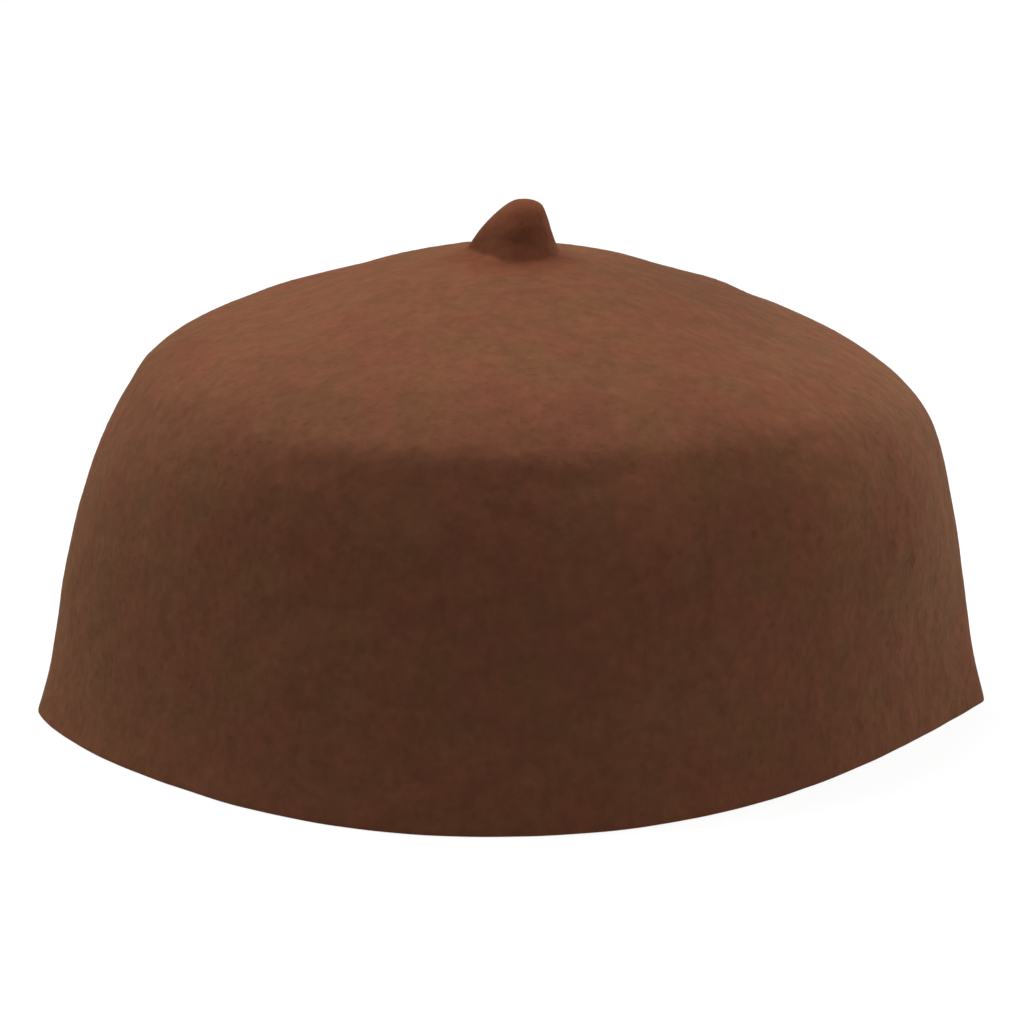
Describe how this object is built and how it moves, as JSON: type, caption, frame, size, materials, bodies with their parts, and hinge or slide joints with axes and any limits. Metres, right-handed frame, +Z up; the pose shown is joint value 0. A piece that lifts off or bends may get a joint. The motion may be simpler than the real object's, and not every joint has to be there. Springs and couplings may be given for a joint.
{
  "type": "one-piece blocked felt cap with a stem",
  "caption": "Brimless cap of thick brown wool felt, blocked in one piece: flared wall, round shoulder, domed crown and a short stem in its middle.",
  "frame": {"origin": "middle of the cap, on the plane that its cut edge rests on", "axes": "+Z up through the crown, X from the left side crease to the right one, -Y the front"},
  "size_m": [0.1997, 0.1767, 0.1088],
  "materials": {
    "wool_felt": "brown wool felt, fulled and blocked, matt with a short nap"
  },
  "bodies": {
    "root": {"felt_cap": "wool_felt"}
  },
  "joints": []
}
